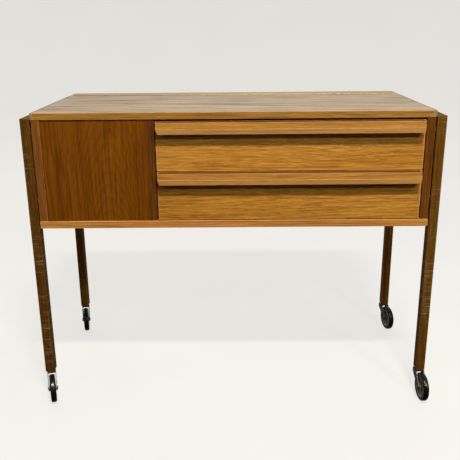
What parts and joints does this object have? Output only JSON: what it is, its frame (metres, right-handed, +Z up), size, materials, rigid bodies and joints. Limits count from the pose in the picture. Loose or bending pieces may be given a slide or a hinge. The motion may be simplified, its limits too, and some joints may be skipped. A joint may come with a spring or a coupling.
{
  "type": "sewing table",
  "caption": "Teak sewing table on swivel castors, with a hinged lid over a deep side compartment and sliding drawers that have full-width lip pulls.",
  "frame": {"origin": "on the floor, under the middle of the whole object with its castors as they stand", "axes": "+X to the right along the table's width, +Y from the front to the rear, +Z up"},
  "size_m": [0.905, 0.461, 0.6757],
  "materials": {
    "teak_panel": "oiled satin",
    "teak_lid": "oiled satin",
    "teak_drawer_front": "oiled satin",
    "teak_pull": "oiled satin",
    "stained_leg": "stained, worn",
    "drawer_beech": "raw, sealed",
    "plywood": "raw, sealed",
    "spacer_plastic": "matt",
    "zinc_steel": "bright",
    "brass": "aged",
    "fork_steel": "bright",
    "wheel_black": "glossy",
    "tyre_rubber": "satin"
  },
  "bodies": {
    "case": {"left_side_panel": "teak_panel", "right_side_panel": "teak_panel", "bottom_panel": "teak_panel", "divider_panel": "teak_panel", "rear_panel": "teak_panel", "rear_top_rail": "teak_panel", "compartment_front": "teak_panel", "dust_panel": "plywood", "upper_drawer_runners": "drawer_beech", "lower_drawer_runners": "drawer_beech", "front_left_leg": "stained_leg", "front_right_leg": "stained_leg", "rear_left_leg": "stained_leg", "rear_right_leg": "stained_leg", "left_frame_rail": "stained_leg", "right_frame_rail": "stained_leg", "leg_spacers": "spacer_plastic", "leg_bolts": "zinc_steel", "castor_sockets": "zinc_steel", "hinge_fixed_leaf": "brass", "hinge_pin": "brass", "hinge_fixed_screws": "brass"},
    "lid": {"lid_panel": "teak_lid", "lid_front_lipping": "teak_lid", "lid_left_lipping": "teak_lid", "lid_right_lipping": "teak_lid", "hinge_lid_leaf": "brass", "hinge_lid_screws": "brass"},
    "upper_drawer": {"upper_drawer_front": "teak_drawer_front", "upper_drawer_pull": "teak_pull", "upper_drawer_left_side": "drawer_beech", "upper_drawer_right_side": "drawer_beech", "upper_drawer_back": "drawer_beech", "upper_drawer_bottom": "plywood"},
    "lower_drawer": {"lower_drawer_front": "teak_drawer_front", "lower_drawer_pull": "teak_pull", "lower_drawer_left_side": "drawer_beech", "lower_drawer_right_side": "drawer_beech", "lower_drawer_back": "drawer_beech", "lower_drawer_bottom": "plywood"},
    "front_left_castor": {"front_left_castor_fork": "fork_steel", "front_left_castor_stem": "zinc_steel", "front_left_castor_axle": "fork_steel"},
    "front_left_wheel": {"front_left_castor_wheel": "wheel_black", "front_left_castor_tyre": "tyre_rubber"},
    "front_right_castor": {"front_right_castor_fork": "fork_steel", "front_right_castor_stem": "zinc_steel", "front_right_castor_axle": "fork_steel"},
    "front_right_wheel": {"front_right_castor_wheel": "wheel_black", "front_right_castor_tyre": "tyre_rubber"},
    "rear_left_castor": {"rear_left_castor_fork": "fork_steel", "rear_left_castor_stem": "zinc_steel", "rear_left_castor_axle": "fork_steel"},
    "rear_left_wheel": {"rear_left_castor_wheel": "wheel_black", "rear_left_castor_tyre": "tyre_rubber"},
    "rear_right_castor": {"rear_right_castor_fork": "fork_steel", "rear_right_castor_stem": "zinc_steel", "rear_right_castor_axle": "fork_steel"},
    "rear_right_wheel": {"rear_right_castor_wheel": "wheel_black", "rear_right_castor_tyre": "tyre_rubber"}
  },
  "joints": [
    {"name": "lid_hinge", "type": "hinge", "parent": "case", "child": "lid", "pos_m": [0, 0.1637, 0.67425], "axis": [-1, 0, 0], "range_deg": [0, 180]},
    {"name": "upper_drawer_slide", "type": "slide", "parent": "case", "child": "upper_drawer", "axis": [0, -1, 0], "range_m": [0, 0.28]},
    {"name": "lower_drawer_slide", "type": "slide", "parent": "case", "child": "lower_drawer", "axis": [0, -1, 0], "range_m": [0, 0.28]},
    {"name": "front_left_swivel", "type": "hinge", "parent": "case", "child": "front_left_castor", "pos_m": [-0.437, -0.17, 0.068], "axis": [0, 0, 1], "continuous": true},
    {"name": "front_left_roll", "type": "hinge", "parent": "front_left_castor", "child": "front_left_wheel", "pos_m": [-0.42881, -0.19678, 0.0325], "axis": [0.9563, 0.2924, 0], "continuous": true},
    {"name": "front_right_swivel", "type": "hinge", "parent": "case", "child": "front_right_castor", "pos_m": [0.437, -0.17, 0.068], "axis": [0, 0, 1], "continuous": true},
    {"name": "front_right_roll", "type": "hinge", "parent": "front_right_castor", "child": "front_right_wheel", "pos_m": [0.43944, -0.19789, 0.0325], "axis": [0.9962, 0.0872, 0], "continuous": true},
    {"name": "rear_left_swivel", "type": "hinge", "parent": "case", "child": "rear_left_castor", "pos_m": [-0.437, 0.206, 0.068], "axis": [0, 0, 1], "continuous": true},
    {"name": "rear_left_roll", "type": "hinge", "parent": "rear_left_castor", "child": "rear_left_wheel", "pos_m": [-0.43118, 0.17861, 0.0325], "axis": [0.9781, 0.2079, 0], "continuous": true},
    {"name": "rear_right_swivel", "type": "hinge", "parent": "case", "child": "rear_right_castor", "pos_m": [0.437, 0.206, 0.068], "axis": [0, 0, 1], "continuous": true},
    {"name": "rear_right_roll", "type": "hinge", "parent": "rear_right_castor", "child": "rear_right_wheel", "pos_m": [0.44282, 0.17861, 0.0325], "axis": [0.9781, 0.2079, 0], "continuous": true}
  ]
}
